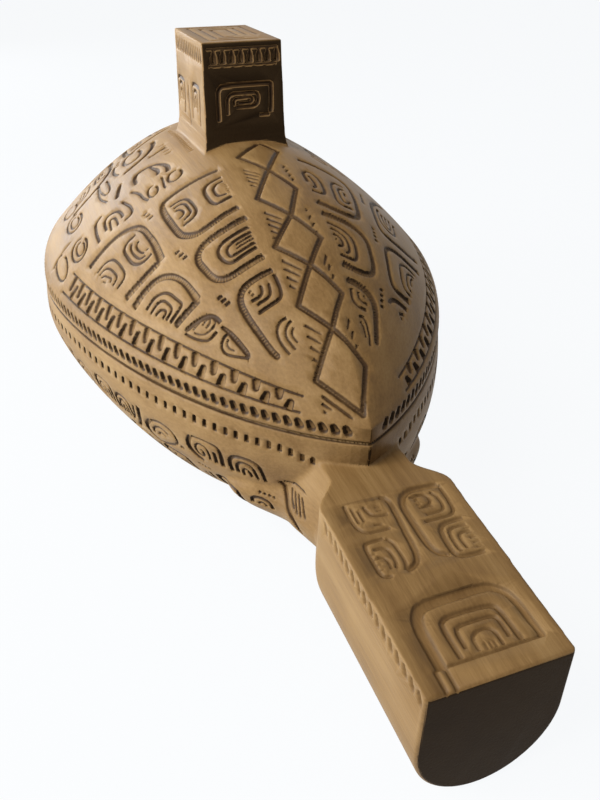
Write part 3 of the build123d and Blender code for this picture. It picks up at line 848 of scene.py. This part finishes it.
for inset in (0, 4.5, 8.5):
    line = [(12 - inset, 8), (12 - inset, inset - 20), (inset - 12, inset - 20),
            (inset - 12, 20 - inset), (9 - inset, 20 - inset)]
    lid_gouge.cut(from_above(lid_skin, straight(line)), 1.4, 0.6, "vee", (0.5, 0.5))

lid_gouge.finish()


# ---- the wood's finish --------------------------------------------------------------------------
# Brown hardwood, waxed to a low gloss: fine grain along the length, dark pores, dark wax and
# painted shade on the walls of the cuts, less of both on the floor of the widest cuts, and dull
# dark end grain with painted shade on the faces that look along the bowl.
wood, shade = new_material("waxed_carved_wood")
place = shade.node("ShaderNodeTexCoord", out="Object")
stretched = shade.node("ShaderNodeMapping", {"Vector": place, "Scale": (1, 0.045, 1)})
fibre = shade.node("ShaderNodeTexNoise", {"Vector": stretched, "Scale": 1100, "Detail": 4,
                                          "Roughness": 0.65})
broad = shade.node("ShaderNodeTexNoise", {"Vector": stretched, "Scale": 120, "Detail": 3})
blotch = shade.node("ShaderNodeTexNoise", {"Vector": place, "Scale": 24, "Detail": 4})
patchiness = shade.node("ShaderNodeTexNoise", {"Vector": place, "Scale": 75, "Detail": 3})
stops = [(0.32, (0.150, 0.080, 0.027)), (0.50, (0.250, 0.147, 0.056)),
         (0.70, (0.350, 0.222, 0.096))]
tone = shade.node("ShaderNodeValToRGB", [fibre * 0.30 + broad * 0.35 + blotch * 0.35], stops=stops)

# the cuts: dark wax and painted shade on their walls, less of both on a deep cut's floor
# and on the handle
HANDLE_ENDS = -0.176, -0.160    # where the handle turns into the neck
cut = shade.node("ShaderNodeAttribute", out="Fac", attribute_name="cut")
rising = shade.node("ShaderNodeMapRange", [cut, 0.08, 0.5, 0, 1])
falling = shade.node("ShaderNodeMapRange", [cut, 0.92, 1.15, 1, 0.22])
along = shade.node("ShaderNodeSeparateXYZ", [place], out="Y")
handled = shade.node("ShaderNodeMapRange", [along, *HANDLE_ENDS, 0.40, 1])
# dark wax and painted shade: how far the colour goes towards near-black in the cuts
wax_and_painted_shade = rising * falling * handled * (0.60 + patchiness * 0.60)
# the wood's tone, darkened in the cuts by wax and by painted shade
carved = shade.node("ShaderNodeMix", {0: wax_and_painted_shade, 6: tone, 7: (0.040, 0.019, 0.007, 1)}, out=2,
                    data_type="RGBA")

# end grain, on the faces that look along the bowl, drinks the wax and stays dull; its near-black
# colour is partly end grain and partly painted shade on these faces
facing = shade.node("ShaderNodeNewGeometry", out="True Normal")
end_on = abs(shade.node("ShaderNodeSeparateXYZ", [facing], out="Y"))
# painted shade with end grain: faces that look along the bowl turn to the near-black finish
end_grain_and_painted_shade = shade.node("ShaderNodeMapRange", [end_on, 0.86, 0.95, 0, 0.94])
rough = shade.node("ShaderNodeMapRange", [fibre * 0.5 + blotch * 0.5, 0.3, 0.7, 0.40, 0.58])
relief = shade.node("ShaderNodeBump", {"Strength": 0.3, "Distance": 0.0004, "Height": fibre})
waxed = shade.node("ShaderNodeBsdfPrincipled",
                   {"Base Color": carved, "Roughness": rough, "Normal": relief,
                    "Specular IOR Level": 0.16})
# near-black colour: part dark end grain, part painted shade on faces turned from the lamps
end_grain_and_shade_finish = shade.node("ShaderNodeBsdfPrincipled",
                     {"Base Color": (0.016, 0.009, 0.004, 1), "Roughness": 0.7, "Normal": relief,
                      "Specular IOR Level": 0.08})
finish = shade.node("ShaderNodeMixShader", {0: end_grain_and_painted_shade, 1: waxed, 2: end_grain_and_shade_finish})
shade.node("ShaderNodeOutputMaterial", {"Surface": finish})

lid.data.materials.append(wood)
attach(lid, "lid")
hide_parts("lid")


# ---- the bowl's wood ----------------------------------------------------------------------------
# The bowl and its handle are one block too: a deep pointed oval, cut in under the point to a neck,
# and a U-shaped bar with a flat top for the hand.


def belly_ring(level, rise, inset=0.0, tip_inset=0.0):
    """The bowl's outline at a level from 0, at the rim, to 1, where the belly would close."""
    left = 1 - level ** 2
    side = left ** (1 / 3.0) + 3.5 / HALF_WIDTH * 4 * level * (1 - level)
    return outline((HALF_WIDTH - inset) * side, (TIP_REACH - tip_inset) * left ** 0.25,
                   (REAR_REACH - inset) * side, TIP_ANGLE + (90 - TIP_ANGLE) * level, 24 * level,
                   rise)


def bar_ring(y, top_width, low_width, top, clear, rounded, count=20):
    """A section of handle or neck: flat top, leaning sides and a round underside."""
    spring = clear + rounded
    top_half, low_half = top_width / 2, low_width / 2
    under = bezier((low_half, spring), (low_half, spring - QUARTER_CIRCLE * rounded),
                   (QUARTER_CIRCLE * low_half, clear), (0, clear), count)[::-1]
    right = [(0, clear)] + [tuple(p) for p in under]
    right += [(low_half + (top_half - low_half) * k / 10, spring + (top - spring) * k / 10)
              for k in range(1, 11)]
    right += [(top_half * (1 - k / 10), top) for k in range(1, 11)]
    left = [(-x, z) for x, z in right[-2:0:-1]]
    ring = np.array(right + left)
    return np.column_stack([ring[:, 0], np.full(len(ring), y), ring[:, 1]])


rings = disc(outline(28, 62, 46, 90, 0, 0), 0.3, 0.6, 0.85, 1.0)
depths = np.append(np.linspace(0.96, 0.75, 14)[:-1], np.linspace(0.75, 0, 26))
rings += [belly_ring(level, SEAM - 65.6 * level) for level in depths]
rings += disc(belly_ring(0, SEAM), 0.8, 0.5, 0.25)
bowl = turned("bowl_carved", rings)

stations = ((-246, 43.4, 44.6, 49.7, 1.8, 25.8), (-245.2, 45, 46.2, 50.5, 1, 25.8),
            (-230, 45.4, 46.6, 51.5, 1, 25.8), (-210, 46, 47.2, 52.9, 1, 25.8),
            (-190, 46.6, 47.8, 54.2, 1, 25.8), (-177, 47, 48.2, 55.1, 1, 25.8))
handle = turned("handle", [bar_ring(*station)[::-1] for station in stations])
combine(bowl, handle, "UNION")

# The neck, which narrows and lifts off the table between the handle and the belly.
neck_rows = np.array([(-176.5, 47, 48.2, 1, 25.8), (-163, 30, 40, 12.5, 20),
                      (-148.5, 30, 51.5, 12.5, 20), (-124.5, 30, 82, 12.5, 20),
                      (-110.5, 30, 82, 12.5, 20)])


def eased(y, column):
    """A smooth run of one neck size through its stations."""
    rows = neck_rows
    k = int(np.clip(np.searchsorted(rows[:, 0], y) - 1, 0, len(rows) - 2))
    t = (y - rows[k, 0]) / (rows[k + 1, 0] - rows[k, 0])
    t = t * t * (3 - 2 * t) if k != 1 else t
    return rows[k, column] + (rows[k + 1, column] - rows[k, column]) * t


neck = turned("neck", [bar_ring(y, eased(y, 1), eased(y, 2), 55.2, eased(y, 3), eased(y, 4))[::-1]
                       for y in np.linspace(-176.5, -111, 44)])
combine(bowl, neck, "UNION")

hollow = turned("hollow", [belly_ring(level, SEAM - 56.25 * level, 8.5, 18) for level in depths]
                + disc(belly_ring(0, 67, 8.5, 18), 1.0, 0.6, 0.3))
combine(bowl, hollow, "DIFFERENCE")

bowl_skin = seasoned(bowl, 6)

# The hollow curves where the belly runs into the neck are rubbed round.
soften = bowl.vertex_groups.new(name="neck")
for vertex in bowl.data.vertices:
    y, z = vertex.co.y / MM, vertex.co.z / MM
    if -160 < y < -96 and z < 57:
        soften.add([vertex.index], min(1, (y + 160) / 8, (-96 - y) / 10, (57 - z) / 3), "REPLACE")
worked(bowl, "SMOOTH", vertex_group="neck", factor=0.5, iterations=60)
bowl.vertex_groups.clear()
bowl_gouge = Gouge(bowl)
bowl_walk = walk_round(bowl_skin, 62)


CHART_STEP = 3.0                # round from the point
CHART_DEPTH = 75                # millimetres down over the swell


def belly_chart(side):
    """The flank as a grid of places and outward directions."""
    places, outs = [], []
    for along in np.arange(0, HALF_ROUND + 2, CHART_STEP):
        x, y, out_x, out_y = inset_place(bowl_walk, side, along, -30)
        profile = []
        for height in np.arange(64, 3, -1.0):
            hit = touch(bowl_skin, (x, y, height), (-out_x, -out_y, 0))
            if hit is not None:
                profile.append(np.concatenate(hit))
        profile = np.array(profile)
        run = 1 + run_of(profile[:, :3])
        down = [np.interp(np.arange(CHART_DEPTH), run, profile[:, k]) for k in range(6)]
        places.append(np.column_stack(down[:3]))
        outs.append(np.column_stack(down[3:]))
    return np.array(places), np.array(outs)


def on_chart(chart, line):
    """A line drawn in (distance round from the point, distance down from the seam)."""
    path = []
    for along, down in line:
        column = min(max(along / CHART_STEP, 0), len(chart[0]) - 1.001)
        row = min(max(down, 0), CHART_DEPTH - 1.01)
        i, j = int(column), int(row)
        u, v = column - i, row - j
        mixed = [(1 - u) * ((1 - v) * grid[i, j] + v * grid[i, j + 1])
                 + u * ((1 - v) * grid[i + 1, j] + v * grid[i + 1, j + 1]) for grid in chart]
        path.append((mixed[0], mixed[1] / (np.linalg.norm(mixed[1]) + 1e-9)))
    return path


flanks = [belly_chart(side) for side in (LEFT, RIGHT)]

# A row of small upright chisel cuts under the rim, closer together near the point.
along = 19.5
while along < 388:
    top = 5.6 + 2.8 * math.exp(-((along - 20) / 7) ** 2)
    for flank in flanks:
        line = straight([(along, top + 0.4), (along, top + 2.8)], 0.3)
        bowl_gouge.cut(on_chart(flank, line), 1.7, 1.25, "flat", square=(True, True))
    along += 4.0 + 1.3 * min(max(along - 20, 0) / 65, 1)


def flank_cut(points, width=1.5, depth=0.9, shape="vee", taper=(0.3, 0.3), ease=3):
    """One stroke on both flanks, drawn in (distance from the middle to the front, height)."""
    for side in (LEFT, RIGHT):
        path = from_side(bowl_skin, drawn(points, ease=ease), side, 150)
        bowl_gouge.cut(path, width, depth, shape, taper)


# The rim's edge at the seam.
for side in (LEFT, RIGHT):
    line = [(along, SEAM - 0.15) for along in np.arange(0, HALF_ROUND, 0.5)]
    bowl_gouge.cut(on_flank(bowl_skin, bowl_walk, side, line), 1.5, 0.6, "vee")

# The upper row's figures, four times round each flank: a small nest of arches, a tall arch with a
# heavy rear leg, a leaf and a crescent.
upper_row = (
    ([(128.4, 38.6), (128.6, 43), (129.5, 46.2), (131.8, 47.6), (135, 47.9), (138, 46.6),
     (138.6, 43), (138.2, 38)], (2, 1.9, 1.4), (1.1, 1, 0.8)),
    ([(130.5, 39), (130.9, 43), (132.4, 45.3), (134.8, 45.3), (136.2, 43.6), (136.3, 38.4)],
     (1.7, 1.6, 1.2), 0.9),
    ([(132.2, 38.4), (132.5, 41.4), (133.4, 42.8), (134.5, 41.8), (134.6, 38.8)], 1.3, 0.8),
    ([(114.6, 49), (113, 46), (112.7, 42.6), (114.2, 39.6), (117.2, 37.6)], (2, 3.2, 2.2), 1.25,
     "round", (0.6, 1.2), 5),
    ([(125, 38.8), (125.8, 43.6), (125.6, 47.6), (123.6, 48.9), (119, 49.3), (114.8, 48.9)],
     (2.2, 2.0, 1.2, 1.2), (1.1, 0.9, 0.6, 0.6)),
    ([(122.7, 39.3), (123.4, 43), (123.2, 45.6)], 1.7, 0.95),
    ([(120.6, 40), (120.9, 44.4), (119.4, 46.4), (116.8, 46.2), (115.6, 43.6), (116.4, 41),
     (118.2, 40.6), (118.8, 43.2), (117.6, 44)], 1.2, 0.75),
    *[([(117.2 - 1.35 * dash, 33.8 + 0.25 * dash), (116.7 - 1.35 * dash, 33)], 1.1, 0.8)
      for dash in range(4)],
    *[([(142.3 - 1.6 * dash, 34), (141.8 - 1.6 * dash, 33.1)], 1.2, 0.8) for dash in range(4)],
    ([(108.6, 40.2), (107.6, 38.4)], 2),
    ([(104.6, 38.6), (106.6, 42), (104.6, 45.8), (99.2, 46.9), (93.6, 45.2)], 1.5, 0.8),
    ([(93.6, 45.2), (90, 41.6), (89.2, 37.8), (91.4, 34.6), (96.6, 34.8), (104.6, 38.6)],
     (2.0, 2.8, 1.8, 1.4), 1.15, "round", (0.3, 0.3), 5),
    ([(102.6, 42.4), (98.6, 43.9), (94.2, 41.6), (93, 38.4)], 1.5),
    ([(100.4, 40.2), (97.4, 40.9), (95.6, 38.6)], 1.3, 0.8),
    ([(87.6, 48.6), (86.2, 43), (84, 38.6), (80.5, 34.6)], (2.6, 2), 1.2, "round"),
    ([(84, 47.6), (82.4, 42), (79, 37.8)], 1.5),
)
for number in range(4):
    for points, *told in upper_row:
        flank_cut([(y - 58 * number, z) for y, z in points], *told)

# Two lower rows of small squared arches with dark chips between, and one more arch at the front.
for top, first, count in ((32.5, 100.0, 10), (19.5, 85.0, 8), (30.5, 124.0, 1)):
    for number in range(count):
        near = first - 22.0 * number + 6
        flank_cut([(near, top - 8), (near, top - 1.5), (near - 1.6, top), (near - 10.4, top),
                   (near - 12, top - 1.5), (near - 12, top - 8)], 2.5, 1.2, "round")
        for inset in (3.2, 5.2):
            flank_cut([(near - inset, top - 8), (near - inset, top - inset + 0.3),
                       (near - 12 + inset, top - inset + 0.3), (near - 12 + inset, top - 8)], 1.3)
        flank_cut([(near - 15.4, top - 0.5), (near - 16.2, top - 6)], 1.9)
        flank_cut([(near - 18.4, top - 2), (near - 18.8, top - 7)], 1.4)

flank_cut([(141.5, 27), (141, 30), (138.5, 31), (135.4, 30.2), (134.6, 27)], 1.8, 1.0)
flank_cut([(139.6, 27.5), (138.2, 29.2), (136.6, 27.6)], 1.3, 0.8)

# A deep crescent where the flank runs into the neck, with thin arcs inside it.
flank_cut([(142.4, 41.2), (144, 38.6), (147.2, 35.4), (150.4, 32.3), (153, 28.6), (155, 23.5)],
          (2.0, 3.0, 2.6), 1.3, "round", (1, 3), 5)
flank_cut([(143.6, 41.8), (147.6, 42.4), (151.8, 42.6), (155, 42.2)], 1.1, 0.6, taper=(1, 3))
for number, reach in enumerate((0, 1.2, 1.6, 1.2)):
    flank_cut([(146.4 + 2 * number, 40.6), (148.6 + 2 * number, 37.6 + 0.2 * number),
               (152.2 + 1.9 * number, 34.2 + 0.3 * number - reach)], 1.3, 0.75, taper=(1, 1.5))

# Handle's flat top: two hooked nests side by side near the neck and nested arches near the end.


def bar_top(points, width, depth=0.8, taper=(0.5, 0.5), shape="vee"):
    bowl_gouge.cut(from_above(bowl_skin, drawn(points)), width, depth, shape, taper)


for stroke in (
    ([(-15.2, 176.6), (-9, 176.6), (-3.6, 177), (-1.2, 179), (-1.2, 185), (-1.8, 193),
     (-2.6, 201.6), (-4.4, 205.6), (-8.4, 207.2)], (2, 2.6, 2.4), 1.15),
    ([(-15.7, 177), (-15.8, 185), (-14.6, 188.8), (-11.7, 190.2), (-5, 190.4)], 1.6, 0.9),
    ([(-14, 179), (-14, 186)], 1.2),
    ([(-12.2, 180.5), (-12.2, 185.8)], 1.1),
    ([(-10, 179.3), (-9.6, 181.7), (-8, 184.2), (-3.4, 184.8)], 1.4),
    *[([(-7, y), (-4.6, y)], 1, 0.6) for y in (180.8, 182.5)],
    ([(-10, 187.5), (-7, 188.2)], 1.2),
    ([(-9.2, 193.9), (-14, 193.8), (-16.2, 195), (-16.3, 205), (-15.4, 207.3), (-13, 207.6)], 1.7,
     0.9),
    ([(-9, 194), (-7.4, 196.7), (-7.2, 204.4), (-8.6, 207.3)], 1.5),
    ([(-14.8, 197), (-11.3, 197), (-10, 198.5), (-9.8, 203.2), (-10.8, 205.6)], 1.4),
    ([(-14.6, 200), (-12.8, 200.5), (-11.9, 202.4), (-12.2, 205.4)], 1.2),
    *[([(-16, y), (-14.2, y)], 1, 0.6) for y in (198.4, 200.5, 202.6, 204.6)],
    ([(17.9, 177.9), (12, 177.4), (7.5, 177.5), (4.3, 179.2), (2.5, 183), (2.2, 190),
     (2.3, 199.6), (3.6, 203.8), (6.8, 205.9)], (2.6, 3, 3, 2.4), 1.2),
    ([(17.9, 178), (17.6, 186), (16.9, 189.8), (14.4, 191.4), (5.8, 191.4)], 1.7, 0.9),
    ([(5.8, 180.6), (10.2, 180.4), (12, 182), (11.4, 184.6), (9, 185.6)], 1.4),
    ([(13.4, 180), (14.8, 182.5), (14.8, 186.6), (13.4, 188.7), (7.5, 188.8)], 1.4),
    ([(6.6, 185.6), (12, 186)], 1),
    *[([(6.3, y), (8.4, y)], 1, 0.6) for y in (182.2, 184)],
    ([(18.3, 193.8), (11.9, 194), (9.2, 195.6), (8.3, 200), (8.3, 206), (10.8, 207.6), (18, 208)],
     (2.0, 2.4, 2.0), 1.0),
    ([(17.9, 196.3), (12.6, 196.6), (10.9, 198.3), (10.4, 204), (11.4, 205.9)], 1.5),
    ([(17.6, 199), (14.4, 199.1), (13, 200.7), (13.3, 205.6)], 1.4),
    ([(17.6, 201.6), (15.6, 201.9)], 1.2),
    *[([(15.6, 197.8 + 2 * number), (18.2, 197.8 + 2 * number)], 1, 0.6) for number in range(5)],
    ([(-14.3, 239.7), (-14.2, 232), (-14, 226.2), (-12.4, 221.8), (-9, 219.9), (0, 219.6),
     (10, 219.7), (14.2, 222.2), (16, 227), (16.5, 239.3)], (3.8, 4.2, 4, 3.2, 2.6), 1.4,
     (0.3, 0.3), "round"),
    ([(-7.9, 238.2), (-7.9, 228), (-6.4, 225.8), (-1.7, 225.2), (7.3, 225.7), (9.7, 227.9),
     (10.4, 238.4)], 2, 1),
    ([(-5.3, 236), (-5, 230.6), (-3.4, 229), (5.8, 228.9), (7.8, 230.5), (7.9, 236.4)], 1.6, 0.9),
    ([(-2.1, 238), (-2.1, 234), (-0.3, 232.2), (3.2, 231.9), (4.8, 233.7), (5, 238.3)], 1.4),
    *[([(x, 235.6), (x, 238.2)], 0.9, 0.6) for x in (0.2, 1.6, 3)],
):
    bar_top(*stroke)
bowl_gouge.cut(from_above(bowl_skin, straight([(-14, 238.9), (17, 238.9)])), 1.3, 0.8, "vee")
for x in (-16.3, -13.4):
    bowl_gouge.cut(from_above(bowl_skin, straight([(x, 239.5), (x, 245.4)])), 1.5, 0.9, "vee")

# A row of slanted notches along each upper edge of the handle.
for side in (LEFT, RIGHT):
    for number in range(16):
        y = 243 - number * 4.1
        z = 45.2 + number * 0.235
        line = straight([(y + 0.6, z + 1.3), (y - 0.6, z + 4.0)])
        bowl_gouge.cut(from_side(bowl_skin, line, side), (2.0, 2.7, 2.0), 0.9, "scoop")

bowl_gouge.finish()
bowl.data.materials.append(wood)
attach(bowl, "bowl")
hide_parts("bowl")
